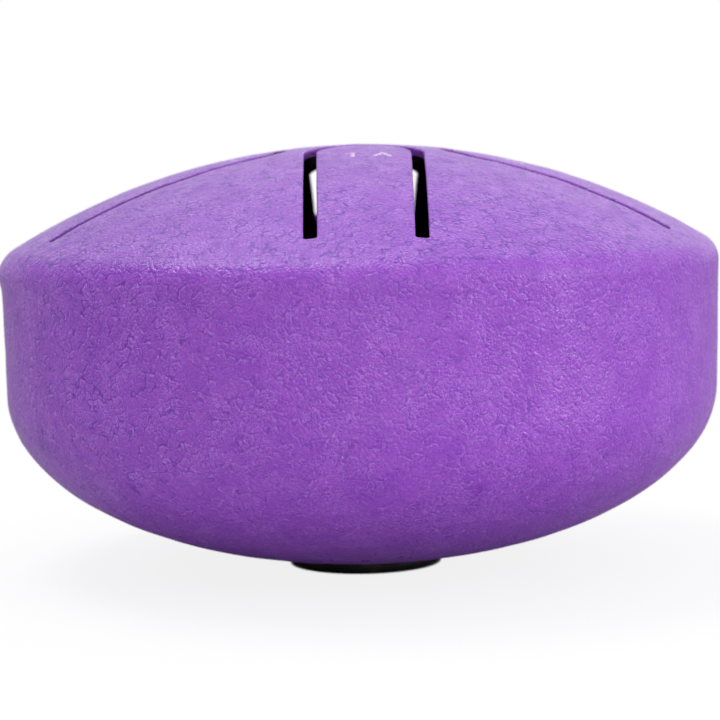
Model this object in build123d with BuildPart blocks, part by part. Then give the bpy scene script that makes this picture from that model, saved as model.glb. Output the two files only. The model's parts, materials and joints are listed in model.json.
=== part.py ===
from build123d import *
from math import acos, cos, degrees, radians, sin, sqrt
import os

# A small steel tongue drum, played by hand or with a mallet. Millimetres, +Z up.
# The origin is the centre of the foot's underside, where the drum meets the table.
# The longest tongue points at the player, who sits on the -Y side.

# Body, two pressed steel shells welded together
sheet = 1.8
crown_height = 82.7
dome_radius = 130.0  # the top is part of a sphere
shoulder_radius = 70.0  # where dome and wall would meet in a sharp corner
shoulder_round = 5.1
bowl_rim_radius = 69.6  # the wall draws in a little towards the bowl
bowl_rim_height = 35.6
bowl_bottom_height = 1.5

# Weld between the shells, ground nearly flush and painted over
seam_height = 57.5
groove_half_height = 1.2
groove_depth = 1.3
bead_crown = 0.45

# Rubber ring in the sound hole, which is also the foot
sound_hole_radius = 11.0
port_radius = 8.0
foot_radius = 15.0
foot_edge_round = 1.4
clip_radius = 12.8
clip_height = 1.3
port_chamfer = 0.6

# Tongues, cut from the dome by one U-shaped slot each. They all point at the middle of
# the slot pattern, which lies beside and behind the drum's axis.
pattern_middle = (1.25, 4.7)
tip_half_width = 9.0
root_half_width = 8.45  # the tongues narrow a little towards their roots
slot_width = 2.4
slot_corner_round = 0.6
knuckle_radius = 1.4
root_clearance = 0.05
end_setback = 0.3

# Each tongue's direction from the player's side, in degrees towards +X, then how far from
# the middle of the pattern are the centre of its round free end and the line it bends about
tongues = [
    (0, 20.5, 65.5),
    (-70, 28.0, 65.9),
    (70, 28.0, 63.7),
    (-126, 30.5, 59.0),
    (126, 30.0, 57.3),
    (180, 30.5, 56.3),
]

dome_centre_height = crown_height - dome_radius
bowl_height = bowl_rim_height - bowl_bottom_height


def dome_height(radius, depth):
    """Height of the dome at a distance from the axis, a depth below its surface."""
    return dome_centre_height + sqrt((dome_radius - depth) ** 2 - radius**2)


def wall_radius(height):
    """Outer radius of the drafted side wall."""
    corner = dome_height(shoulder_radius, 0)
    share = (corner - height) / (corner - bowl_rim_height)
    return shoulder_radius - (shoulder_radius - bowl_rim_radius) * share


def dome_arc(depth, reach):
    """Arc of the dome's section, from a distance off the axis up to the axis."""
    start = degrees(acos(reach / (dome_radius - depth)))
    CenterArc((0, dome_centre_height), dome_radius - depth, start, 90 - start)


def bowl_arc(depth):
    """Quarter ellipse of the bowl's section, a depth below its surface."""
    EllipticalCenterArc(
        (0, bowl_rim_height),
        bowl_rim_radius - depth,
        bowl_height - depth,
        start_angle=270,
        arc_size=90,
    )


def tongue_plane(direction):
    """Ground plane with its origin in the middle of the pattern and its X axis along a tongue."""
    turn = radians(direction)
    return Plane(origin=(*pattern_middle, 0), x_dir=(sin(turn), -cos(turn), 0), z_dir=(0, 0, 1))


def root_plane(direction, root_distance):
    """Plane square to a tongue's bending line. The line passes through the plane's origin,
    half-way through the sheet, and lies flat in the sheet there."""
    turn = radians(direction)
    x = pattern_middle[0] + root_distance * sin(turn)
    y = pattern_middle[1] - root_distance * cos(turn)
    middle = Vector(x, y, dome_height(sqrt(x**2 + y**2), sheet / 2))
    normal = middle - Vector(0, 0, dome_centre_height)
    across = Vector(cos(turn), sin(turn), 0)
    rise = -across.dot(normal) / normal.Z
    return Plane(origin=middle, x_dir=normal, z_dir=across + Vector(0, 0, rise))


def tongue_outline(arc_centre, end, margin=0.0):
    """Closed outline with a half-round free end, tapered sides and a square root."""
    tip = tip_half_width + margin
    root = root_half_width + margin
    Polyline((arc_centre, tip), (end, root), (end, -root), (arc_centre, -tip))
    ThreePointArc((arc_centre, -tip), (arc_centre - tip, 0), (arc_centre, tip))


def corner_at(section, radius, height):
    """The corner of a section drawn as (radius, height) that lies nearest a point."""
    return section.vertices().sort_by_distance((radius, height, 0))[0]


os.makedirs("parts", exist_ok=True)


def finish_part(part, name):
    part.label = name
    export_step(part, f"parts/{name}.step")


# Upper shell: dome, rounded shoulder and a short skirt down to the weld
seam_radius = wall_radius(seam_height)
skirt_bottom = seam_height + groove_half_height
corner_height = dome_height(shoulder_radius, 0)
inner_corner_radius = shoulder_radius - sheet
inner_corner_height = dome_height(inner_corner_radius, sheet)

with BuildPart() as upper_shell:
    with BuildSketch(Plane.XZ) as dome_section:
        with BuildLine():
            dome_arc(0, shoulder_radius)
            Polyline(
                (shoulder_radius, corner_height),
                (wall_radius(skirt_bottom), skirt_bottom),
                (seam_radius - groove_depth, seam_height),
                (seam_radius - sheet, seam_height),
                (inner_corner_radius, inner_corner_height),
            )
            dome_arc(sheet, inner_corner_radius)
            Line((0, crown_height - sheet), (0, crown_height))
        make_face()
        fillet(corner_at(dome_section, shoulder_radius, corner_height), shoulder_round)
        fillet(
            corner_at(dome_section, inner_corner_radius, inner_corner_height),
            shoulder_round - sheet,
        )
    revolve(axis=Axis.Z)

    for direction, arc_centre, root_distance in tongues:
        with BuildSketch(tongue_plane(direction)) as opening:
            with BuildLine():
                tongue_outline(arc_centre, root_distance, slot_width)
            make_face()
            far_corners = opening.vertices().sort_by_distance((0, 0, 0))[-2:]
            fillet(far_corners, slot_corner_round)
        extrude(amount=crown_height, mode=Mode.SUBTRACT)
        with BuildSketch(root_plane(direction, root_distance)):
            Circle(knuckle_radius + root_clearance)
        extrude(amount=root_half_width + root_clearance, both=True, mode=Mode.SUBTRACT)

finish_part(upper_shell.part, "upper_shell")


# Lower shell: drafted wall and half-elliptical bowl with the sound hole
with BuildPart() as lower_shell:
    with BuildSketch(Plane.XZ):
        with BuildLine():
            bowl_arc(0)
            Polyline(
                (bowl_rim_radius, bowl_rim_height),
                (wall_radius(seam_height - groove_half_height), seam_height - groove_half_height),
                (seam_radius - groove_depth, seam_height),
                (seam_radius - sheet, seam_height),
                (bowl_rim_radius - sheet, bowl_rim_height),
            )
            bowl_arc(sheet)
            Line((0, bowl_bottom_height), (0, bowl_bottom_height + sheet))
        make_face()
    revolve(axis=Axis.Z)
    with BuildSketch(Plane.XY):
        Circle(sound_hole_radius)
    extrude(amount=bowl_rim_height, mode=Mode.SUBTRACT)

finish_part(lower_shell.part, "lower_shell")


# Weld bead: fills the V between the bevelled edges and stands slightly proud
with BuildPart() as weld_seam:
    with BuildSketch(Plane.XZ):
        with BuildLine():
            top = (wall_radius(seam_height + groove_half_height), seam_height + groove_half_height)
            bottom = (wall_radius(seam_height - groove_half_height), seam_height - groove_half_height)
            Polyline(bottom, (seam_radius - groove_depth, seam_height), top)
            ThreePointArc(top, (seam_radius + bead_crown, seam_height), bottom)
        make_face()
    revolve(axis=Axis.Z)

finish_part(weld_seam.part, "weld_seam")


# Foot ring: grips the edge of the sound hole between its foot and its clip
def bowl_inside_height(radius):
    drop = (bowl_height - sheet) * sqrt(1 - (radius / (bowl_rim_radius - sheet)) ** 2)
    return bowl_rim_height - drop


clip_top = bowl_inside_height(clip_radius) + clip_height

with BuildPart() as foot_ring:
    with BuildSketch(Plane.XZ) as ring_section:
        with BuildLine():
            Polyline(
                (port_radius, 0),
                (foot_radius, 0),
                (foot_radius, bowl_bottom_height + sheet),
                (clip_radius, bowl_bottom_height + sheet),
                (clip_radius, clip_top),
                (port_radius, clip_top),
                close=True,
            )
        make_face()
        fillet(corner_at(ring_section, foot_radius, 0), foot_edge_round)
        chamfer(corner_at(ring_section, port_radius, 0), port_chamfer)
        chamfer(corner_at(ring_section, clip_radius, clip_top), port_chamfer)
    revolve(axis=Axis.Z)
    add(lower_shell.part, mode=Mode.SUBTRACT)

finish_part(foot_ring.part, "foot_ring")


# Tongues: the sheet left inside each slot. The root is a shallow round knuckle about
# the line the tongue bends about, so that the tongue can swing free of the dome.
def make_tongue(direction, arc_centre, root_distance):
    with BuildPart() as tongue:
        with BuildSketch(tongue_plane(direction)):
            with BuildLine():
                tongue_outline(arc_centre, root_distance - end_setback)
            make_face()
        extrude(amount=crown_height)
        with BuildSketch(root_plane(direction, root_distance)):
            Circle(knuckle_radius)
        extrude(amount=root_half_width, both=True)
        with BuildSketch(Plane.XZ):
            with BuildLine():
                dome_arc(0, shoulder_radius)
                Line(
                    (shoulder_radius, corner_height),
                    (shoulder_radius, dome_height(shoulder_radius, sheet)),
                )
                dome_arc(sheet, shoulder_radius)
                Line((0, crown_height - sheet), (0, crown_height))
            make_face()
        revolve(axis=Axis.Z, mode=Mode.INTERSECT)
    return tongue.part


for number, sizes in enumerate(tongues, start=1):
    finish_part(make_tongue(*sizes), f"tongue_{number}")
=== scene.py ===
import json
import math
from itertools import product

import bmesh
import bpy
import numpy as np
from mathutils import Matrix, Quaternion, Vector
from mathutils.geometry import delaunay_2d_cdt


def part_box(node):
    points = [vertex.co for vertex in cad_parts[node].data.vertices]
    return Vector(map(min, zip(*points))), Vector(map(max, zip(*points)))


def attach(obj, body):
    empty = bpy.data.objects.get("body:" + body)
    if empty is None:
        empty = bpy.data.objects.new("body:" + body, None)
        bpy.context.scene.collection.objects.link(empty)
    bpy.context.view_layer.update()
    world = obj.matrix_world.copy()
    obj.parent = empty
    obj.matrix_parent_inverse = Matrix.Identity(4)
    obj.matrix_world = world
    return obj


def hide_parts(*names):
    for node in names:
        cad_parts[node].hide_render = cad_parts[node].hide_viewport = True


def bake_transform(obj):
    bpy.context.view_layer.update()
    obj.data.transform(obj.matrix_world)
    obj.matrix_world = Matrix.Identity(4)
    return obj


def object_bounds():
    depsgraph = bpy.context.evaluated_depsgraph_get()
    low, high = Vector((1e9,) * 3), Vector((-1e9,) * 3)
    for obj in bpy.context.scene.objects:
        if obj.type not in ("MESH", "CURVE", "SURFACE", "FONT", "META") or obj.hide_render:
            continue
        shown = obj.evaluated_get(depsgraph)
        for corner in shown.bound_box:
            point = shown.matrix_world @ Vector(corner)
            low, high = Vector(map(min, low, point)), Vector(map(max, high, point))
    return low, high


# A small steel tongue drum with a purple crinkle powder coat. Lengths are in metres.
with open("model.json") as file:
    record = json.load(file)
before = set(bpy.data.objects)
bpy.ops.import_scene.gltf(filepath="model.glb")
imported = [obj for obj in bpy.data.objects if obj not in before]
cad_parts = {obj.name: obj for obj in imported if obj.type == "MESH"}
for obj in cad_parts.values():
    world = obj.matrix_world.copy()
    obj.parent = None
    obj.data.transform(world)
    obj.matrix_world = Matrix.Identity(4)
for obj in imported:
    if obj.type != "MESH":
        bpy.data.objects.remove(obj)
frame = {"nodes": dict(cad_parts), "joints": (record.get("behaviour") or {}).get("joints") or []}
cad_low, cad_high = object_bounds()

MM = 0.001

# Steel body
SHEET = 1.8 * MM
SHOULDER_RADIUS = 70.0 * MM  # where dome and wall would meet in a sharp corner
SHOULDER_ROUND = 5.1 * MM
BOWL_RIM_RADIUS = 69.6 * MM
BOWL_RIM_HEIGHT = 35.6 * MM
BOWL_BOTTOM_HEIGHT = 1.5 * MM
HOLE_RADIUS = 11.0 * MM

# Slots and the soft edge that the coating gives them
SLOT = 2.4 * MM
SLOT_CORNER = 0.6 * MM
EDGE = 0.35 * MM

# Weld bead under the coating: how proud it stands all round, how much more on the -X side,
# how far above the joint its crest lies, how far it feathers out and how deep it reaches in
BEAD_CROWN = 0.07 * MM
BEAD_SWELL = 0.42 * MM
BEAD_RISE = 1.6 * MM
BEAD_SPREAD = 2.4 * MM
BEAD_UNEVEN = 0.05 * MM
BEAD_WAVE = 0.16  # size of its unevenness round the drum, as a share of the drum's radius
WELD_DEPTH = 1.3 * MM

# Low swell of the coated surface: heights and sizes of its broad and its fine waves
BROAD_SWELL, BROAD_SIZE = 0.075 * MM, 5.5 * MM
FINE_SWELL, FINE_SIZE = 0.022 * MM, 2.1 * MM

# Foot ring
PORT_RADIUS = 8.0 * MM
CLIP_RADIUS = 12.8 * MM
FOOT_ROUND = 0.9 * MM
FOOT_TAPER = 0.02 * MM  # how much narrower the foot's side is at its top
FOOT_TOP_CHAMFER = 0.2 * MM
RUBBER_GAP = 0.03 * MM
FLASH = 0.05 * MM  # how proud the moulding line round the foot stands
RUBBER_CHAMFER = 0.6 * MM
CHAMFER_BULGE = 0.17 * MM  # a chamfer's middle point lies this far inside both faces
GROOVE_OUTER = 3.6 * MM  # moulded groove in the foot's underside, measured in from its rim
GROOVE_INNER = 4.5 * MM
GROOVE_SLOPE = 0.15 * MM
GROOVE_SUNK = 0.12 * MM

# Mesh fineness
SPACING = 0.85 * MM
SEGMENTS = 600
RIM_PLAN_RADIUS = 66.5 * MM  # the flat-plan triangulation of the dome ends here
OUTLINE_STEP = 0.6 * MM
FEWEST_TURN_STEPS = 6
SHOULDER_STEPS = 10
WELD_STEPS = 6
WALL_STEP = 0.8 * MM
BOWL_STEPS = 104
INSIDE_STEPS = 30
FOOT_STEPS = 8
LONGEST_LETTER_EDGE = 0.5 * MM
SHARP_ANGLE = math.radians(40)

# Note marks printed near the free ends, one for each tongue, the distance of each mark's
# middle from the tongue's tip, and how far they all stand off the tongue's middle line
MARKS = ["1 A", "2 C", "3 D", "4 E", "5 G", "6 A"]
MARK_SETBACKS = [14.6 * MM, 8.0 * MM, 13.0 * MM, 9.0 * MM, 9.0 * MM, 9.0 * MM]
MARK_SHIFT = 0.87 * MM
MARK_HEIGHT = 3.6 * MM
CAPITAL_SHARE = 0.7  # height of a capital letter as a share of the font's size
STROKE_GAIN = 0.026  # how much bolder the letters are, as a share of the font's size
WORD_SPACE = 1.8
FLAG_REACH = 0.95 * MM  # of the number 1's flag, sideways and down
FLAG_WIDTH = 0.65 * MM
MARK_PROUD = 0.03 * MM
MARK_SUNK = 0.08 * MM

# ---------------------------------------------------------------- frame readings

weld_low, weld_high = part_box("weld_seam")
SEAM_HEIGHT = (weld_low.z + weld_high.z) / 2
SEAM_HALF = (weld_high.z - weld_low.z) / 2
CROWN = cad_high.z
_, foot_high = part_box("foot_ring")
FOOT_RADIUS = foot_high.x
FOOT_TOP = foot_high.z

hinge = Vector(frame["joints"][0]["pos_m"])
drop = CROWN - hinge.z
reach = math.hypot(hinge.x, hinge.y)  # the hinge lies half-way through the sheet
DOME_RADIUS = (reach**2 + drop**2 - SHEET**2 / 4) / (2 * drop - SHEET)
DOME_CENTRE = CROWN - DOME_RADIUS
CORNER_HEIGHT = DOME_CENTRE + math.sqrt(DOME_RADIUS**2 - SHOULDER_RADIUS**2)


def read_tongue(joint):
    """Plan directions and sizes of one tongue, from its joint and its CAD node. Lengths
    along the tongue are measured outwards from its root, so that they are negative on it."""
    pos = np.array(joint["pos_m"])
    side = np.array(joint["axis"][:2])
    side /= np.linalg.norm(side)
    out = np.array([side[1], -side[0]])
    plan = np.array([v.co[:2] for v in frame["nodes"][joint["child"]].data.vertices]) - pos[:2]
    along, across = plan @ out, np.abs(plan @ side)
    half = across.max()
    tip = along.min()
    arc = tip + half
    root_half = across[along > -0.5 * MM].max()
    return {
        "name": joint["child"],
        "hinge": pos,
        "out": out,
        "side": side,
        "tip": tip,
        "arc": arc,
        "half": half,
        "taper": (half - root_half) / -arc,
    }


tongues = [read_tongue(joint) for joint in frame["joints"]]

# ---------------------------------------------------------------- surface shape


def lattice_noise(points, size, seed):
    """Smooth noise between -1 and 1 whose features are about size across."""
    count = 64
    grid = np.random.default_rng(seed).uniform(-1, 1, (count, count, count))
    scaled = points / size
    cell = np.floor(scaled).astype(int)
    part = scaled - cell
    part = part * part * (3 - 2 * part)
    total = np.zeros(len(points))
    for corner in product((0, 1), repeat=3):
        step = np.array(corner)
        weight = np.prod(np.where(step == 1, part, 1 - part), axis=1)
        i, j, k = ((cell + step) % count).T
        total += weight * grid[i, j, k]
    return total


def swell(points):
    """How far the coated surface stands off its ideal shape."""
    broad = lattice_noise(points, BROAD_SIZE, seed=3)
    fine = lattice_noise(points, FINE_SIZE, seed=5)
    return BROAD_SWELL * broad + FINE_SWELL * fine


def bead(points):
    """How far the weld lifts the surface, uneven round the drum and highest on the -X side."""
    angle = np.arctan2(points[:, 1], points[:, 0])
    ring = np.stack([np.cos(angle), np.sin(angle), np.zeros(len(angle))], axis=1)
    left = np.maximum(-np.cos(angle), 0) ** 2
    crown = BEAD_CROWN + BEAD_SWELL * left + BEAD_UNEVEN * lattice_noise(ring, BEAD_WAVE, seed=8)
    fade = np.exp(-(((points[:, 2] - SEAM_HEIGHT - BEAD_RISE) / BEAD_SPREAD) ** 2))
    return np.where(np.hypot(points[:, 0], points[:, 1]) > RIM_PLAN_RADIUS, crown * fade, 0.0)


def lifted(base, normal):
    return base + normal * (swell(base) + bead(base))[:, None]


def dome_points(plan, depth):
    """Points of the dome over plan positions, a depth straight below the outer surface."""
    rise = np.sqrt(DOME_RADIUS**2 - (plan**2).sum(axis=1))
    base = np.column_stack([plan, DOME_CENTRE + rise])
    normal = np.column_stack([plan, rise]) / DOME_RADIUS
    return base + normal * swell(base)[:, None] - np.array([0, 0, 1]) * depth


def under_points(plan, lift):
    """Points of the dome's underside over plan positions, a lift above it."""
    rise = np.sqrt((DOME_RADIUS - SHEET) ** 2 - (plan**2).sum(axis=1))
    return np.column_stack([plan, DOME_CENTRE + rise + lift])


def wall_radius(height):
    share = (CORNER_HEIGHT - height) / (CORNER_HEIGHT - BOWL_RIM_HEIGHT)
    return SHOULDER_RADIUS - (SHOULDER_RADIUS - BOWL_RIM_RADIUS) * share


def bowl_height(radius, inset=0.0):
    """Height of the bowl's surface at a radius, inset into the sheet."""
    depth = BOWL_RIM_HEIGHT - BOWL_BOTTOM_HEIGHT - inset
    return BOWL_RIM_HEIGHT - depth * math.sqrt(1 - (radius / (BOWL_RIM_RADIUS - inset)) ** 2)


# ---------------------------------------------------------------- mesh helpers


class Build:
    """Vertices and faces of the body, each face with the piece and material it belongs to."""

    def __init__(self):
        self.points = []
        self.count = 0
        self.faces = []
        self.pieces = []
        self.materials = []

    def add_points(self, points):
        first = self.count
        self.points.append(points)
        self.count += len(points)
        return np.arange(first, self.count)

    def add_face(self, face, piece, material=0):
        self.faces.append(face)
        self.pieces.append(piece)
        self.materials.append(material)

    def strip(self, upper, lower, owners, material=0, flip=False):
        """Quads between two closed rows of vertices."""
        for i, owner in enumerate(owners):
            j = (i + 1) % len(upper)
            face = (upper[i], upper[j], lower[j], lower[i])
            self.add_face(face[::-1] if flip else face, owner, material)

    def make(self, piece, materials):
        """The mesh object of one piece, holding only the vertices that it uses."""
        picked = [i for i, name in enumerate(self.pieces) if name == piece]
        faces = [self.faces[i] for i in picked]
        used = np.unique(np.concatenate([np.array(face) for face in faces]))
        place = {int(old): new for new, old in enumerate(used)}
        points = np.concatenate(self.points)[used]
        return mesh_object(
            piece,
            points,
            [[place[int(v)] for v in face] for face in faces],
            materials,
            [self.materials[i] for i in picked],
        )


def mesh_object(name, points, faces, materials, indices=None):
    """Smooth-shaded mesh with its sharp edges kept. The indices give each face's material."""
    mesh = bpy.data.meshes.new(name)
    mesh.from_pydata([tuple(p) for p in points], [], faces)
    for material in materials:
        mesh.materials.append(material)
    if indices is not None:
        mesh.polygons.foreach_set("material_index", indices)
    mesh.polygons.foreach_set("use_smooth", [True] * len(faces))
    mesh.update()
    mesh.set_sharp_from_angle(angle=SHARP_ANGLE)
    obj = bpy.data.objects.new(name, mesh)
    bpy.context.scene.collection.objects.link(obj)
    return obj


def ring_points(radius, height):
    angle = np.arange(SEGMENTS) * math.tau / SEGMENTS
    return np.column_stack(
        [radius * np.cos(angle), radius * np.sin(angle), np.full(SEGMENTS, height)]
    )


def ring_rows(profile):
    """Rows of ring vertices for outer profile points (radius, height, normal out, normal up)."""
    rows = []
    angle = np.arange(SEGMENTS) * math.tau / SEGMENTS
    for radius, height, out, up in profile:
        normal = np.column_stack([out * np.cos(angle), out * np.sin(angle), np.full(SEGMENTS, up)])
        rows.append(lifted(ring_points(radius, height), normal))
    return rows


def plain_rows(profile):
    return [ring_points(radius, height) for radius, height in profile]


def lathe(name, rows, materials, indices):
    """A closed ring-shaped piece from rows of ring vertices, listed down the outside and up
    the inside."""
    build = Build()
    ids = [build.add_points(row) for row in rows]
    for k, row in enumerate(ids):
        build.strip(row, ids[(k + 1) % len(ids)], [name] * SEGMENTS, indices[k], flip=True)
    return build.make(name, materials)


# ---------------------------------------------------------------- plan of the dome


def slot_outline(tongue):
    """Plan points round one U-shaped slot, the directions into the metal there, and
    whether the edge that starts at each point is the tongue's own."""
    half, taper, arc = tongue["half"], tongue["taper"], tongue["arc"]
    wide = half + SLOT
    end, far = -SLOT_CORNER, 0.0
    root_half = half + taper * (arc - end)
    root_wide = root_half + SLOT
    tilt = math.atan(taper)
    lean = math.degrees(tilt)
    c, s = math.cos(tilt), math.sin(tilt)
    rows = []

    def line(start, stop, normal, mine):
        length = math.dist(start, stop)
        count = max(1, round(length / OUTLINE_STEP))
        for k in range(count):
            share = k / count
            u = start[0] + (stop[0] - start[0]) * share
            v = start[1] + (stop[1] - start[1]) * share
            rows.append((u, v, normal[0], normal[1], mine))

    def turn(centre, radius, begin, stop, sign, mine):
        length = abs(math.radians(stop - begin)) * radius
        count = max(FEWEST_TURN_STEPS, round(length / OUTLINE_STEP))
        for k in range(count):
            angle = math.radians(begin + (stop - begin) * k / count)
            x, y = math.cos(angle), math.sin(angle)
            u, v = centre[0] + radius * x, centre[1] + radius * y
            rows.append((u, v, sign * x, sign * y, mine))

    outer_turn = root_wide - SLOT_CORNER
    inner_turn = root_half + SLOT_CORNER
    line((end, root_wide), (arc + wide * s, wide * c), (s, c), False)
    turn((arc, 0), wide, 90 - lean, 270 + lean, 1, False)
    line((arc + wide * s, -wide * c), (end, -root_wide), (s, -c), False)
    turn((end, -outer_turn), SLOT_CORNER, lean - 90, 0, 1, False)
    line((far, -outer_turn), (far, -inner_turn), (1, 0), False)
    turn((end, -inner_turn), SLOT_CORNER, 0, 90, 1, False)
    line((end, -root_half), (arc + half * s, -half * c), (-s, c), True)
    turn((arc, 0), half, 270 + lean, 90 - lean, -1, True)
    line((arc + half * s, half * c), (end, root_half), (-s, -c), True)
    turn((end, inner_turn), SLOT_CORNER, -90, 0, 1, False)
    line((far, inner_turn), (far, outer_turn), (1, 0), False)
    turn((end, outer_turn), SLOT_CORNER, 0, 90 - lean, 1, False)

    table = np.array([row[:4] for row in rows])
    to_plan = np.array([tongue["out"], tongue["side"]])
    outline = tongue["hinge"][:2] + table[:, :2] @ to_plan
    return outline, table[:, 2:] @ to_plan, [row[4] for row in rows]


def local(plan, tongue):
    """Lengths along and across a tongue, from the middle of its root."""
    moved = plan - tongue["hinge"][:2]
    return moved @ tongue["out"], moved @ tongue["side"]


def spine_distance(u, v, tongue):
    """Distance from a tongue's middle line, stretched so that it stays the same along the
    tapered sides: half the tongue's width on its outline, and more outside it."""
    along = u - tongue["arc"]
    return np.where(along < 0, np.hypot(along, v), np.abs(v) + tongue["taper"] * along)


def inside_polygon(points, polygon):
    """Even-odd test of many points against one closed polygon."""
    x, y = points[:, :1], points[:, 1:]
    ax, ay = polygon[:, 0], polygon[:, 1]
    bx, by = np.roll(ax, -1), np.roll(ay, -1)
    spans = (ay > y) != (by > y)
    with np.errstate(divide="ignore", invalid="ignore"):
        crossing = ax + (y - ay) / (by - ay) * (bx - ax)
    return (spans & (x < crossing)).sum(axis=1) % 2 == 1


def background_points():
    """Triangular grid over the dome, kept clear of the slots, the roots and the rim."""
    row_gap = math.sqrt(0.75)  # of equal triangles with a side of one
    rows = int(RIM_PLAN_RADIUS / (SPACING * row_gap)) + 1
    columns = int(RIM_PLAN_RADIUS / SPACING) + 1
    j, i = np.meshgrid(np.arange(-rows, rows + 1), np.arange(-columns, columns + 1), indexing="ij")
    shifted = i + 0.5 * (j % 2)
    plan = np.column_stack([shifted.ravel() * SPACING, j.ravel() * SPACING * row_gap])
    margin = 0.5 * SPACING
    keep = np.hypot(*plan.T) < RIM_PLAN_RADIUS - margin
    for tongue in tongues:
        u, v = local(plan, tongue)
        away = spine_distance(u, v, tongue)
        near_slot = (
            (away < tongue["half"] + SLOT + EDGE + margin)
            & (away > tongue["half"] - EDGE - margin)
            & (u < EDGE + margin)
        )
        near_root = (np.abs(u + SLOT_CORNER) < margin) & (np.abs(v) < tongue["half"])
        keep &= ~(near_slot | near_root)
    return plan[keep]


def dome_mesh(build):
    """The dome with its six slots, seen in plan, triangulated and raised to the sphere.
    Returns the rim's vertex rows, outside and underside."""
    plan = [background_points()]
    edges = []
    total = len(plan[0])

    def add_chain(points, closed):
        nonlocal total
        first = total
        plan.append(points)
        total += len(points)
        ids = list(range(first, total))
        edges.extend(zip(ids, ids[1:] + ids[:1] if closed else ids[1:]))
        return ids

    angle = np.arange(SEGMENTS) * math.tau / SEGMENTS
    rim = add_chain(RIM_PLAN_RADIUS * np.column_stack([np.cos(angle), np.sin(angle)]), True)
    slots = []
    for tongue in tongues:
        outline, normals, mine = slot_outline(tongue)
        widened = outline + normals * EDGE
        ids = add_chain(widened, True)
        first = mine.index(True)
        last = len(mine) - mine[::-1].index(True)
        start, stop = widened[first], widened[last]
        count = max(2, round(math.dist(start, stop) / SPACING))
        shares = np.arange(1, count)[:, None] / count
        across = add_chain(start + (stop - start) * shares, False)
        edges.append((ids[first], across[0]))
        edges.append((across[-1], ids[last]))
        root = [ids[first], *across, ids[last]]
        slots.append({"ids": ids, "outline": outline, "normals": normals, "mine": mine,
                      "widened": widened, "root": root, "first": first, "last": last})

    plan = np.concatenate(plan)
    result = delaunay_2d_cdt([Vector(p) for p in plan], edges, [], 0, 1e-9)
    flat = np.array([tuple(p) for p in result[0]])
    triangles = np.array(result[2])
    to_new = {old: new for new, olds in enumerate(result[3]) for old in olds}

    corners = flat[triangles]
    turned = np.cross(corners[:, 1] - corners[:, 0], corners[:, 2] - corners[:, 0]) < 0
    triangles[turned] = triangles[turned][:, ::-1]
    centres = corners.mean(axis=1)
    keep = np.hypot(*centres.T) < RIM_PLAN_RADIUS
    owner = np.zeros(len(triangles), int)
    for number, (tongue, slot) in enumerate(zip(tongues, slots), start=1):
        u, v = local(centres, tongue)
        away = spine_distance(u, v, tongue)
        near = np.nonzero((away < tongue["half"] + 2 * SLOT) & (u < SLOT))[0]
        keep[near[inside_polygon(centres[near], slot["widened"])]] = False
        owner[(away < tongue["half"]) & (u < -SLOT_CORNER)] = number

    names = ["body_upper"] + [f"{tongue['name']}_skin" for tongue in tongues]
    top = build.add_points(dome_points(flat, 0.0))
    under = build.add_points(under_points(flat, 0.0))
    for triangle, number in zip(triangles[keep], owner[keep]):
        build.add_face(tuple(top[triangle]), names[number])
        build.add_face(tuple(under[triangle[::-1]]), names[number], 1)

    for number, slot in enumerate(slots, start=1):
        slot_walls(build, slot, names[number], top, under, to_new)
    rim_ids = np.array([to_new[i] for i in rim])
    return top[rim_ids], under[rim_ids]


def slot_walls(build, slot, name, top, under, to_new):
    """Cut faces of one slot with soft edges, and the hidden joint across the tongue's root.
    Part-way down the wall the coat is darker, painted shade, and the lowest part is bare."""
    turns = np.radians([22.5, 45, 67.5, 90])
    # the first rows keep the full coat, the next take the darker slot coat as painted shade, the
    # rest are bare
    full_coat_rows, painted_shade_rows = 3, 7
    ids = np.array([to_new[i] for i in slot["ids"]])
    outline, normals = slot["outline"], slot["normals"]
    rows = [top[ids]]
    for turn in turns:
        plan = outline + normals * EDGE * (1 - math.sin(turn))
        rows.append(build.add_points(dome_points(plan, EDGE * (1 - math.cos(turn)))))
    upper = dome_points(outline, EDGE)
    lower = under_points(outline, EDGE)
    for share in (0.33, 0.67):
        rows.append(build.add_points(upper + (lower - upper) * share))
    for turn in turns[::-1]:
        plan = outline + normals * EDGE * (1 - math.sin(turn))
        rows.append(build.add_points(under_points(plan, EDGE * (1 - math.cos(turn)))))
    rows.append(under[ids])
    owners = [name if mine else "body_upper" for mine in slot["mine"]]
    for k in range(len(rows) - 1):
        material = 0 if k < full_coat_rows else 2 if k < painted_shade_rows else 1
        build.strip(rows[k], rows[k + 1], owners, material)
    root = np.array([to_new[i] for i in slot["root"]])
    down_last = [row[slot["last"]] for row in rows[1:-1]]
    up_first = [row[slot["first"]] for row in rows[-2:0:-1]]
    section = [*top[root], *down_last, *under[root[::-1]], *up_first]
    build.add_face(tuple(section), "body_upper", 1)
    build.add_face(tuple(section[::-1]), name, 1)


def arc_point(centre_r, centre_z, radius, tilt):
    """Profile point on an arc, tilted away from straight up, with its normal."""
    out, up = math.sin(tilt), math.cos(tilt)
    return centre_r + radius * out, centre_z + radius * up, out, up


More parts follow.
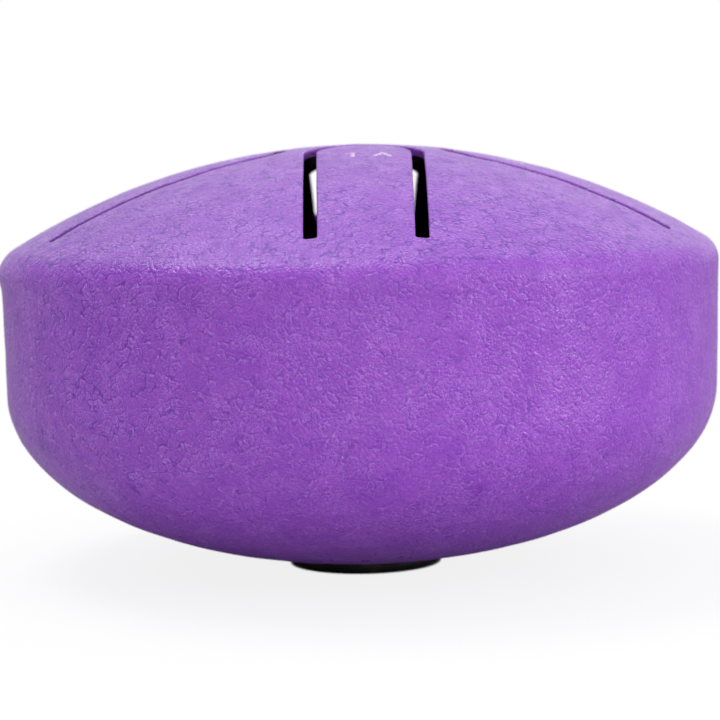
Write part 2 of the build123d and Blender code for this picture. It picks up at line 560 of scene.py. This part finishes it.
def shoulder_profile():
    """Outer profile from the plan's rim over the rounded shoulder to the weld."""
    lean = math.atan2(SHOULDER_RADIUS - BOWL_RIM_RADIUS, CORNER_HEIGHT - BOWL_RIM_HEIGHT)
    # the round's centre lies its own radius inside both the dome and the wall
    inner = DOME_RADIUS - SHOULDER_ROUND
    centre_r = wall_radius(CORNER_HEIGHT) - SHOULDER_ROUND
    for _ in range(8):
        centre_z = DOME_CENTRE + math.sqrt(inner**2 - centre_r**2)
        centre_r = wall_radius(centre_z) - SHOULDER_ROUND / math.cos(lean)
    start = math.asin(centre_r / inner)
    rim = math.asin(RIM_PLAN_RADIUS / DOME_RADIUS)
    profile = [arc_point(0.0, DOME_CENTRE, DOME_RADIUS, rim + (start - rim) * 0.5)]
    for k in range(SHOULDER_STEPS + 1):
        tilt = start + (math.pi / 2 + lean - start) * k / SHOULDER_STEPS
        profile.append(arc_point(centre_r, centre_z, SHOULDER_ROUND, tilt))
    top = SEAM_HEIGHT + SEAM_HALF
    lowest = profile[-1][1]
    for share in (0.5, 1.0):
        height = lowest + (top - lowest) * share
        profile.append((wall_radius(height), height, 1.0, 0.0))
    return profile


def build_upper():
    """Upper shell and tongues, as one set of vertices so that they meet exactly."""
    build = Build()
    rim_top, rim_under = dome_mesh(build)
    # the weld's groove, then up the inside, with two points for the corner under the shoulder
    seam = wall_radius(SEAM_HEIGHT)
    inner_corner = SHOULDER_RADIUS - SHEET
    inner_height = DOME_CENTRE + math.sqrt((DOME_RADIUS - SHEET) ** 2 - inner_corner**2)
    hidden = [
        (seam - WELD_DEPTH, SEAM_HEIGHT),
        (seam - SHEET, SEAM_HEIGHT),
        (inner_corner - 0.05 * MM, inner_height - 1.6 * MM),
        (inner_corner - 0.45 * MM, inner_height - 0.5 * MM),
    ]
    outer = [build.add_points(row) for row in ring_rows(shoulder_profile())]
    inner = [build.add_points(row) for row in plain_rows(hidden)]
    rows = [rim_top, *outer, *inner, rim_under]
    for k in range(len(rows) - 1):
        material = 0 if k < len(outer) else 1
        build.strip(rows[k], rows[k + 1], ["body_upper"] * SEGMENTS, material, flip=True)
    return build


def weld_rows():
    """Bead: outer band between the two shells, then the hidden V that fills the groove."""
    seam = wall_radius(SEAM_HEIGHT)
    heights = SEAM_HEIGHT + SEAM_HALF * np.linspace(1, -1, WELD_STEPS + 1)
    outer = ring_rows([(wall_radius(h), h, 1.0, 0.0) for h in heights])
    return outer + plain_rows([(seam - WELD_DEPTH, SEAM_HEIGHT)])


def bowl_rows():
    """Lower shell: wall and bowl outside, the sound hole's edge, then back up inside."""
    low = SEAM_HEIGHT - SEAM_HALF
    outer = []
    count = round((low - BOWL_RIM_HEIGHT) / WALL_STEP)
    for k in range(count):
        height = low + (BOWL_RIM_HEIGHT - low) * k / count
        outer.append((wall_radius(height), height, 1.0, 0.0))
    depth = BOWL_RIM_HEIGHT - BOWL_BOTTOM_HEIGHT
    stop = math.acos((HOLE_RADIUS + EDGE) / BOWL_RIM_RADIUS)
    for k in range(BOWL_STEPS + 1):
        turn = stop * k / BOWL_STEPS
        c, s = math.cos(turn), math.sin(turn)
        out, up = c / BOWL_RIM_RADIUS, -s / depth
        size = math.hypot(out, up)
        outer.append((BOWL_RIM_RADIUS * c, BOWL_RIM_HEIGHT - depth * s, out / size, up / size))
    rows = ring_rows(outer)
    hole = HOLE_RADIUS
    hidden = [
        (hole + 0.1 * MM, bowl_height(hole) + 0.1 * MM),
        (hole, bowl_height(hole) + EDGE),
        (hole, bowl_height(hole, SHEET) - EDGE),
        (hole + EDGE, bowl_height(hole + EDGE, SHEET)),
    ]
    inner = []
    inside_rim = BOWL_RIM_RADIUS - SHEET
    for k in range(1, INSIDE_STEPS + 1):
        radius = inside_rim * math.sin(math.pi / 2 * k / INSIDE_STEPS)
        if radius > hole + 2 * EDGE:
            inner.append((radius, bowl_height(min(radius, inside_rim), SHEET)))
    seam = wall_radius(SEAM_HEIGHT)
    inner.append((seam - SHEET, SEAM_HEIGHT))
    inner.append((seam - WELD_DEPTH, SEAM_HEIGHT))
    indices = [0] * (len(rows) - 1) + [1] * (len(hidden) + len(inner)) + [1]
    return rows + plain_rows(hidden + inner), indices


def foot_rows():
    """Rubber ring: rounded foot, a moulding line round its edge, the neck and the inner clip."""
    edge = []
    for k in range(FOOT_STEPS + 1):
        turn = math.radians(90 * k / FOOT_STEPS)
        radius = FOOT_RADIUS - FOOT_ROUND * (1 - math.cos(turn))
        edge.append((radius, FOOT_ROUND * (1 - math.sin(turn))))
    flash_height = FOOT_ROUND + 5 * FLASH
    top = bowl_height(FOOT_RADIUS) - RUBBER_GAP
    outside = [
        (FOOT_RADIUS - FOOT_TAPER - FOOT_TOP_CHAMFER, top),
        (FOOT_RADIUS - FOOT_TAPER, top - FOOT_TOP_CHAMFER),
        (FOOT_RADIUS, flash_height + 2 * FLASH),
        (FOOT_RADIUS + FLASH, flash_height),
        (FOOT_RADIUS, flash_height - 2 * FLASH),
    ]
    underside = [
        (FOOT_RADIUS - GROOVE_OUTER, 0.0),
        (FOOT_RADIUS - GROOVE_OUTER - GROOVE_SLOPE, GROOVE_SUNK),
        (FOOT_RADIUS - GROOVE_INNER + GROOVE_SLOPE, GROOVE_SUNK),
        (FOOT_RADIUS - GROOVE_INNER, 0.0),
        (PORT_RADIUS + RUBBER_CHAMFER, 0.0),
        (PORT_RADIUS + CHAMFER_BULGE, CHAMFER_BULGE),
        (PORT_RADIUS, RUBBER_CHAMFER),
    ]
    neck = HOLE_RADIUS - RUBBER_GAP
    clip_low = bowl_height(CLIP_RADIUS, SHEET) + RUBBER_GAP
    inside = [
        (PORT_RADIUS, FOOT_TOP - RUBBER_CHAMFER / 2),
        (PORT_RADIUS + RUBBER_CHAMFER / 2, FOOT_TOP),
        (CLIP_RADIUS - RUBBER_CHAMFER, FOOT_TOP),
        (CLIP_RADIUS - CHAMFER_BULGE, FOOT_TOP - CHAMFER_BULGE),
        (CLIP_RADIUS, FOOT_TOP - RUBBER_CHAMFER),
        (CLIP_RADIUS, clip_low),
        (neck, bowl_height(neck, SHEET) + RUBBER_GAP),
        (neck, bowl_height(neck) - RUBBER_GAP),
        (neck + 2 * MM, bowl_height(neck + 2 * MM) - RUBBER_GAP),
    ]
    return plain_rows(outside + edge + underside + inside)


# ---------------------------------------------------------------- materials

# Colours of the coat: its two ground tones, the darker mottle, the painted highlight on the lips
# and the painted shade in the creases of its crinkle, and painted glints. The slot walls get a
# darker copy of the coat, painted shade.
GROUND_TONES = [(0.292, 0.058, 0.540), (0.342, 0.078, 0.590)]
MOTTLE_TONE = (0.190, 0.034, 0.430)
LIP_HIGHLIGHT_TONE = (0.52, 0.23, 0.78)
CREASE_SHADE_TONE = (0.130, 0.016, 0.360)
GLINT_TONE = (0.60, 0.36, 0.80)
SLOT_PAINTED_SHADE = 0.75

# Crinkle: meshes per millimetre of its coarse and its fine net, then the heights of the
# pillows between the coarse creases, of the wrinkles between the fine ones and of the grain
COARSE_NET, FINE_NET = 0.52, 1.2
PILLOW_HEIGHT, WRINKLE_HEIGHT, GRAIN_HEIGHT = 0.080, 0.046, 0.050  # millimetres


class Shader:
    """Short way to add nodes to a material: inputs are values or other nodes' outputs."""

    def __init__(self, name):
        self.material = bpy.data.materials.new(name)
        self.material.use_nodes = True
        self.tree = self.material.node_tree
        self.surface = self.tree.nodes["Principled BSDF"]

    def connect(self, node, inputs):
        for key, value in inputs.items():
            socket = node.inputs[key]
            if isinstance(value, bpy.types.NodeSocket):
                self.tree.links.new(value, socket)
            else:
                socket.default_value = value

    def add(self, kind, inputs=None, output=0, **settings):
        node = self.tree.nodes.new("ShaderNode" + kind)
        for key, value in settings.items():
            setattr(node, key, value)
        self.connect(node, inputs or {})
        return node.outputs[output]

    def math(self, operation, *values):
        return self.add("Math", dict(enumerate(values)), operation=operation)

    def vector(self, operation, *values):
        return self.add("VectorMath", dict(enumerate(values)), operation=operation)

    def scaled(self, vector, factor):
        return self.add("VectorMath", {0: vector, "Scale": factor}, operation="SCALE")

    def noise(self, vector, scale, detail, rough=0.5, output=0):
        inputs = {"Vector": vector, "Scale": scale, "Detail": detail, "Roughness": rough}
        return self.add("TexNoise", inputs, output)

    def shifts(self, vector, scale):
        """Noise in three directions about zero."""
        swirl = self.noise(vector, scale, 1.0, output="Color")
        return self.vector("SUBTRACT", swirl, (0.5, 0.5, 0.5))

    def ramp(self, value, low, high, to_low=0.0, to_high=1.0):
        inputs = {"Value": value, "From Min": low, "From Max": high, "To Min": to_low,
                  "To Max": to_high}
        return self.add("MapRange", inputs, interpolation_type="SMOOTHSTEP")

    def vector_length(self, vector):
        return self.add("VectorMath", {0: vector}, output="Value", operation="LENGTH")

    def vector_dot(self, first, second):
        return self.add("VectorMath", {0: first, 1: second}, "Value", operation="DOT_PRODUCT")

    def millimetres(self):
        """Place on the drum in millimetres, the same for all pieces."""
        return self.scaled(self.add("TexCoord", output="Object"), 1000.0)

    def camera_ray(self):
        return self.add("LightPath", output="Is Camera Ray")

    def mix(self, factor, first, second):
        """Colour mix of two colours or colour outputs."""
        node = self.tree.nodes.new("ShaderNodeMix")
        node.data_type = "RGBA"
        self.connect(node, {0: factor, 6: first, 7: second})
        return node.outputs[2]


def crinkle(shader):
    """Relief of the crinkled coating in millimetres, and masks of the painted shade in its
    creases, of the painted highlight on the lips beside them and of the patches where the painted
    highlights and glints are strongest. Coordinates are millimetres on the drum, so the pattern
    runs on over every piece."""
    place = shader.millimetres()
    highlight_patch = shader.ramp(shader.noise(place, 0.13, 2.0), 0.38, 0.62)
    breaks = shader.ramp(shader.noise(place, 0.45, 1.0), 0.36, 0.60, 0.15, 1.0)

    def bent(scale, amount):
        return shader.vector("ADD", place, shader.scaled(shader.shifts(place, scale), amount))

    def net(vector, scale, shift=(0, 0, 0)):
        """Distance from the lines of an irregular net whose meshes are 1 / scale across."""
        inputs = {"Vector": shader.vector("ADD", vector, shift), "Scale": scale}
        return shader.add("TexVoronoi", inputs, feature="DISTANCE_TO_EDGE")

    # the painted crease shade and lip highlights are wider and stronger where the drum faces up,
    # and stronger on the -X side; the relief stays the same
    normal = shader.add("NewGeometry", output="Normal")
    facing_up = shader.vector_dot(normal, (0, 0, 1))
    widening = shader.ramp(facing_up, 0.4, 0.9, 1.0, 1.9)
    facing_left = shader.vector_dot(normal, (-1, 0, 0))
    painted_light_gain = shader.math("MULTIPLY", shader.ramp(facing_up, 0.4, 0.9, 0.74, 1.16),
                            shader.ramp(facing_left, 0.15, 0.7, 1.0, 1.6))

    def line(distance, width, share):
        edge = shader.math("MULTIPLY", widening, width)
        painted_line = shader.math("MULTIPLY", shader.ramp(distance, 0.0, edge, 1.0, 0.0), share)
        return shader.math("MULTIPLY", painted_line, painted_light_gain)

    wide, narrow = bent(0.55, 1.9), bent(1.2, 0.9)
    # each net again, shifted a little, marks the lip beside each crease that gets a painted
    # highlight
    coarse, lip = net(wide, COARSE_NET), net(wide, COARSE_NET, (0.06, 0.20, 0.24))
    fine, fine_lip = net(narrow, FINE_NET), net(narrow, FINE_NET, (0.04, 0.12, 0.15))
    # painted shade along the coarse and fine creases, then painted highlight along the lips beside
    # them
    crease_shade = shader.math("MAXIMUM", line(coarse, 0.105, breaks), line(fine, 0.135, 0.60))
    fine_share = shader.ramp(highlight_patch, 0, 1, 0.35, 1.0)
    lip_highlights = shader.math("MAXIMUM", line(lip, 0.095, breaks), line(fine_lip, 0.130, fine_share))
    pillow = shader.math("MULTIPLY", shader.ramp(coarse, 0.0, 0.28), breaks)
    grain = shader.noise(place, 2.4, 2.0)
    wrinkle = shader.ramp(fine, 0.0, 0.30)
    relief = shader.math("MULTIPLY", pillow, PILLOW_HEIGHT)
    for part, height in ((wrinkle, WRINKLE_HEIGHT), (grain, GRAIN_HEIGHT)):
        relief = shader.math("ADD", relief, shader.math("MULTIPLY", part, height))
    return place, relief, crease_shade, lip_highlights, highlight_patch


def coated_steel(name="purple_crinkle_coat", shade=1.0):
    """Purple crinkle powder coat; a shade below one darkens all its colours, painted shade for the
    slot walls.
    """
    shader = Shader(name)
    place, relief, crease_shade, lip_highlights, highlight_patch = crinkle(shader)

    def tone(colour):
        return (*(part * shade for part in colour), 1)

    cloud = shader.ramp(shader.noise(place, 0.22, 3.0), 0.35, 0.65)
    colour = shader.mix(cloud, tone(GROUND_TONES[0]), tone(GROUND_TONES[1]))
    mottle = shader.ramp(shader.noise(place, 1.7, 2.0), 0.36, 0.64)
    colour = shader.mix(shader.math("MULTIPLY", mottle, 0.32), colour, tone(MOTTLE_TONE))
    # painted highlight on the lips, then painted shade in the creases
    colour = shader.mix(shader.math("MULTIPLY", lip_highlights, 0.60), colour, tone(LIP_HIGHLIGHT_TONE))
    colour = shader.mix(shader.math("MULTIPLY", crease_shade, 0.86), colour, tone(CREASE_SHADE_TONE))
    # painted glints: small light specks, stronger in the highlight patches
    glint = shader.ramp(shader.noise(place, 2.1, 1.0), 0.66, 0.74)
    glint_share = shader.math("MULTIPLY", glint, shader.ramp(highlight_patch, 0, 1, 0.10, 0.45))
    colour = shader.mix(glint_share, colour, tone(GLINT_TONE))
    rough = shader.ramp(shader.noise(place, 0.35, 2.0), 0.3, 0.7, 0.27, 0.40)
    normal = shader.add("Bump", {"Height": relief, "Strength": 1.0, "Distance": MM})
    shader.connect(shader.surface, {"Base Color": colour, "Roughness": rough, "Normal": normal,
                                    "Specular IOR Level": 0.45})
    return shader.material


def bare_steel():
    """Inside of the shells: dark mill scale with a thin dusting of overspray."""
    shader = Shader("dark_inside_steel")
    place = shader.millimetres()
    blotch = shader.ramp(shader.noise(place, 0.09, 4.0, 0.6), 0.35, 0.7)
    streak = shader.noise(place, 1.4, 3.0)
    colour = shader.mix(blotch, (0.016, 0.014, 0.018, 1), (0.045, 0.034, 0.052, 1))
    rough = shader.ramp(streak, 0.3, 0.7, 0.45, 0.7)
    normal = shader.add("Bump", {"Height": streak, "Strength": 0.4, "Distance": 0.05 * MM})
    inputs = {"Base Color": colour, "Roughness": rough, "Metallic": 0.55, "Normal": normal}
    shader.connect(shader.surface, inputs)
    return shader.material


def rubber():
    """Black moulded rubber, slightly dusty where it has been handled."""
    shader = Shader("black_rubber")
    place = shader.millimetres()
    grain = shader.noise(place, 2.8, 3.0, 0.6)
    dust = shader.ramp(shader.noise(place, 0.25, 3.0), 0.45, 0.8)
    colour = shader.mix(dust, (0.004, 0.004, 0.005, 1), (0.013, 0.012, 0.013, 1))
    rough = shader.ramp(grain, 0.3, 0.7, 0.45, 0.65)
    normal = shader.add("Bump", {"Height": grain, "Strength": 0.5, "Distance": 0.05 * MM})
    shader.connect(shader.surface, {"Base Color": colour, "Roughness": rough, "Normal": normal,
                                    "Specular IOR Level": 0.25})
    return shader.material


def print_ink():
    """Pale print, patchy, that sinks into the crinkle, with painted shade in its creases."""
    shader = Shader("white_print")
    place, relief, crease_shade, _, _ = crinkle(shader)
    worn = shader.ramp(shader.noise(place, 1.3, 3.0), 0.34, 0.56)
    colour = shader.mix(worn, (0.50, 0.36, 0.66, 1), (0.70, 0.62, 0.76, 1))
    # painted shade in the print's creases
    colour = shader.mix(shader.math("MULTIPLY", crease_shade, 0.5), colour, (0.42, 0.26, 0.60, 1))
    normal = shader.add("Bump", {"Height": relief, "Strength": 0.4, "Distance": MM})
    shader.connect(shader.surface, {"Base Color": colour, "Roughness": 0.5, "Normal": normal})
    return shader.material


# ---------------------------------------------------------------- note marks


def make_mark(tongue, words, setback, ink):
    """A number and a note letter, laid on the dome and upright when seen from the rim."""
    curve = bpy.data.curves.new(f"{tongue['name']}_mark_text", "FONT")
    curve.body = words
    curve.size = MARK_HEIGHT / CAPITAL_SHARE
    curve.align_x = "CENTER"
    curve.align_y = "CENTER"
    curve.space_word = WORD_SPACE
    curve.offset = STROKE_GAIN * curve.size
    text = bpy.data.objects.new("mark_text", curve)
    bpy.context.scene.collection.objects.link(text)
    shown = text.evaluated_get(bpy.context.evaluated_depsgraph_get())
    mesh = bpy.data.meshes.new_from_object(shown)
    bpy.data.objects.remove(text)
    bpy.data.curves.remove(curve)
    return drape_mark(tongue, mesh, setback, ink)


def drape_mark(tongue, mesh, setback, ink):
    """Cuts the flat letters fine, lays them on the coated surface and gives them thickness."""
    shape = bmesh.new()
    shape.from_mesh(mesh)
    if tongue["name"] == "tongue_1":  # the font's number 1 is a plain stem
        add_flag(shape)
    bmesh.ops.remove_doubles(shape, verts=shape.verts, dist=1e-6)
    bmesh.ops.triangulate(shape, faces=shape.faces)
    for _ in range(3):
        long_edges = [e for e in shape.edges if e.calc_length() > LONGEST_LETTER_EDGE]
        if long_edges:
            bmesh.ops.subdivide_edges(shape, edges=long_edges, cuts=1)
            bmesh.ops.triangulate(shape, faces=shape.faces)
    shape.verts.index_update()
    flat = np.array([v.co[:2] for v in shape.verts])
    faces = [[v.index for v in face.verts] for face in shape.faces]
    rims = [[v.index for v in loop_ends(edge)] for edge in shape.edges if edge.is_boundary]
    shape.free()
    bpy.data.meshes.remove(mesh)

    along = tongue["tip"] + setback - flat[:, 1]
    across = flat[:, 0] + MARK_SHIFT
    plan = tongue["hinge"][:2] + along[:, None] * tongue["out"] + across[:, None] * tongue["side"]
    points = np.concatenate([dome_points(plan, -MARK_PROUD), dome_points(plan, MARK_SUNK)])
    count = len(flat)
    under = [[v + count for v in face[::-1]] for face in faces]
    sides = [[b, a, a + count, b + count] for a, b in rims]
    return mesh_object(f"{tongue['name']}_mark", points, faces + under + sides, [ink])


def add_flag(shape):
    """The slanting flag of the number 1, from the top of its stem down to the left."""
    stem = [v.co for v in shape.verts if v.co.x < 0]
    left = min(place.x for place in stem)
    top = max(place.y for place in stem)
    tip = top - FLAG_REACH
    corners = [(left, top), (left - FLAG_REACH, tip), (left - FLAG_REACH, tip - FLAG_WIDTH),
               (left, top - FLAG_WIDTH)]
    shape.faces.new([shape.verts.new((x, y, 0)) for x, y in corners])


def loop_ends(edge):
    """A boundary edge's two vertices, in the order in which its face runs past them."""
    loop = edge.link_loops[0]
    return loop.vert, loop.link_loop_next.vert


# ---------------------------------------------------------------- the drum

paint = coated_steel()
# a darker copy of the coat for the slot walls: painted shade
slot_shade_paint = coated_steel("purple_slot_painted_shade", SLOT_PAINTED_SHADE)
inside = bare_steel()
ink = print_ink()

upper = build_upper()
body_upper = upper.make("body_upper", [paint, inside, slot_shade_paint])
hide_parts("upper_shell")
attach(body_upper, "shell")

rows, indices = bowl_rows()
body_lower = lathe("body_lower", rows, [paint, inside], indices)
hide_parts("lower_shell")
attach(body_lower, "shell")

rows = weld_rows()
weld = lathe("weld_band", rows, [paint, inside], [0] * WELD_STEPS + [1] * 2)
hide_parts("weld_seam")
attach(weld, "shell")

rows = foot_rows()
foot = lathe("rubber_foot", rows, [rubber()], [0] * len(rows))
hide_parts("foot_ring")
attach(foot, "shell")

for tongue, words, setback in zip(tongues, MARKS, MARK_SETBACKS):
    skin = upper.make(f"{tongue['name']}_skin", [paint, inside, slot_shade_paint])
    mark = make_mark(tongue, words, setback, ink)
    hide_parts(tongue["name"])
    for part in (skin, mark):
        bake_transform(part)

# ---------------------------------------------------------------- stage, light and camera

FLOOR_REACH = 6.0

# Name, place, the point it faces, size and power of each lamp
LAMPS = [
    ("top_softbox", (-0.25, 0.05, 0.87), (0, 0, 0.05), (0.5, 0.35), 3.35),
    ("front_softbox", (0.15, -1.2, 0.20), (0, 0, 0.04), (0.4, 0.3), 2.0),
    ("left_strip", (-0.98, -0.72, 0.30), (0, 0, 0.04), (0.08, 0.30), 0.6),
    ("right_softbox", (1.08, -0.53, 0.30), (0, 0, 0.04), (0.25, 0.35), 4.0),
]

CAMERA_TARGET = (0, 0, 39.8 * MM)
CAMERA_DISTANCE = 475.2 * MM
CAMERA_RISE = math.radians(5.59)
CAMERA_ROLL = math.radians(-1.23)
CAMERA_LENS, CAMERA_SENSOR = 120, 36  # millimetres, as Blender wants them
CAMERA_SHIFT = (-0.0024, 0.0025)
FOCUS_POINT = (0, -58 * MM, 60 * MM)
APERTURE = 35


def floor_material():
    """Pale matt floor that runs out into the white surroundings a few drums away. It throws
    soft light back up, but its mirror image in the coat is dim, as of a floor in shade. From
    below it is clear, so that the drum's underside can be looked at."""
    shader = Shader("pale_floor")
    distance = shader.vector_length(shader.add("NewGeometry"))
    soft_ray = shader.add("LightPath", output="Is Diffuse Ray")
    bounce = shader.mix(soft_ray, (0.35, 0.35, 0.35, 1), (0.72, 0.72, 0.72, 1))
    seen = shader.mix(shader.camera_ray(), bounce, (0.93, 0.93, 0.93, 1))
    inputs = {"Base Color": seen, "Roughness": 0.9, "Specular IOR Level": 0.1}
    shader.connect(shader.surface, inputs)
    glow = shader.add("Emission", {"Color": (1, 1, 1, 1), "Strength": 1.0})
    far = shader.ramp(distance, 0.10, 0.45, 0.85, 1.0)
    uncovered = shader.math("GREATER_THAN", distance, FOOT_RADIUS)
    share = shader.math("MULTIPLY", shader.math("MULTIPLY", far, uncovered), shader.camera_ray())
    blend = shader.add("MixShader", {0: share, 1: shader.surface.outputs[0], 2: glow})
    from_below = shader.add("NewGeometry", output="Backfacing")
    clear = shader.add("BsdfTransparent")
    whole = shader.add("MixShader", {0: from_below, 1: blend, 2: clear})
    shader.tree.links.new(whole, shader.tree.nodes["Material Output"].inputs["Surface"])
    return shader.material


def make_floor():
    far = FLOOR_REACH
    mesh = bpy.data.meshes.new("floor")
    corners = [(-far, -far, 0), (far, -far, 0), (far, far, 0), (-far, far, 0)]
    mesh.from_pydata(corners, [], [(0, 1, 2, 3)])
    mesh.materials.append(floor_material())
    obj = bpy.data.objects.new("floor", mesh)
    bpy.context.scene.collection.objects.link(obj)


def make_light(name, place, target, size, power):
    data = bpy.data.lights.new(name, "AREA")
    data.shape = "RECTANGLE"
    data.size, data.size_y = size
    data.energy = power
    obj = bpy.data.objects.new(name, data)
    obj.location = place
    obj.rotation_euler = (Vector(target) - Vector(place)).to_track_quat("-Z", "Y").to_euler()
    bpy.context.scene.collection.objects.link(obj)


def make_world():
    """White to the camera. As a light it is a soft sky: bright above and behind the drum, dim
    level with the floor and a little dimmer on the -X side."""
    world = bpy.data.worlds.new("studio")
    world.use_nodes = True
    bpy.context.scene.world = world
    tree = world.node_tree
    background = tree.nodes["Background"]
    background.inputs["Color"].default_value = (1, 1, 1, 1)
    direction = tree.nodes.new("ShaderNodeSeparateXYZ")
    coordinates = tree.nodes.new("ShaderNodeTexCoord")
    tree.links.new(coordinates.outputs["Generated"], direction.inputs["Vector"])

    def graded(axis, sizes):
        """Smooth step between two places on an axis, from one level to another."""
        node = tree.nodes.new("ShaderNodeMapRange")
        node.interpolation_type = "SMOOTHSTEP"
        for key, value in zip(("From Min", "From Max", "To Min", "To Max"), sizes):
            node.inputs[key].default_value = value
        tree.links.new(direction.outputs[axis], node.inputs["Value"])
        return node.outputs["Result"]

    def combined(operation, first, second):
        node = tree.nodes.new("ShaderNodeMath")
        node.operation = operation
        tree.links.new(first, node.inputs[0])
        tree.links.new(second, node.inputs[1])
        return node.outputs["Value"]

    above = graded("Z", (-0.1, 0.9, 0.38, 0.94))
    sideways = graded("X", (-1.0, 1.0, 0.54, 1.20))
    behind = graded("Y", (0.1, 1.0, 0.0, 0.40))
    sky = combined("ADD", combined("MULTIPLY", above, sideways), behind)
    path = tree.nodes.new("ShaderNodeLightPath")
    level = tree.nodes.new("ShaderNodeMix")
    level.inputs["B"].default_value = 1.0
    tree.links.new(path.outputs["Is Camera Ray"], level.inputs["Factor"])
    tree.links.new(sky, level.inputs["A"])
    tree.links.new(level.outputs["Result"], background.inputs["Strength"])


def make_camera():
    """A long lens three and a half drums away and just above the level of the dome's crown. It
    is focused on the front of the dome, so that what lies farther back is a little soft."""
    back = Vector((0, -math.cos(CAMERA_RISE), math.sin(CAMERA_RISE)))
    data = bpy.data.cameras.new("camera")
    data.lens = CAMERA_LENS
    data.sensor_width = CAMERA_SENSOR
    data.shift_x, data.shift_y = CAMERA_SHIFT
    data.clip_start = 10 * MM
    focus = bpy.data.objects.new("focus_point", None)
    focus.location = FOCUS_POINT
    bpy.context.scene.collection.objects.link(focus)
    data.dof.use_dof = True
    data.dof.focus_object = focus
    data.dof.aperture_fstop = APERTURE
    camera = bpy.data.objects.new("camera", data)
    camera.location = Vector(CAMERA_TARGET) + back * CAMERA_DISTANCE
    roll = Quaternion((0, 0, 1), CAMERA_ROLL)
    camera.rotation_mode = "QUATERNION"
    camera.rotation_quaternion = (-back).to_track_quat("-Z", "Y") @ roll
    bpy.context.scene.collection.objects.link(camera)
    bpy.context.scene.camera = camera


make_floor()
make_world()
for lamp in LAMPS:
    make_light(*lamp)
make_camera()
bpy.context.scene.view_settings.view_transform = "Standard"
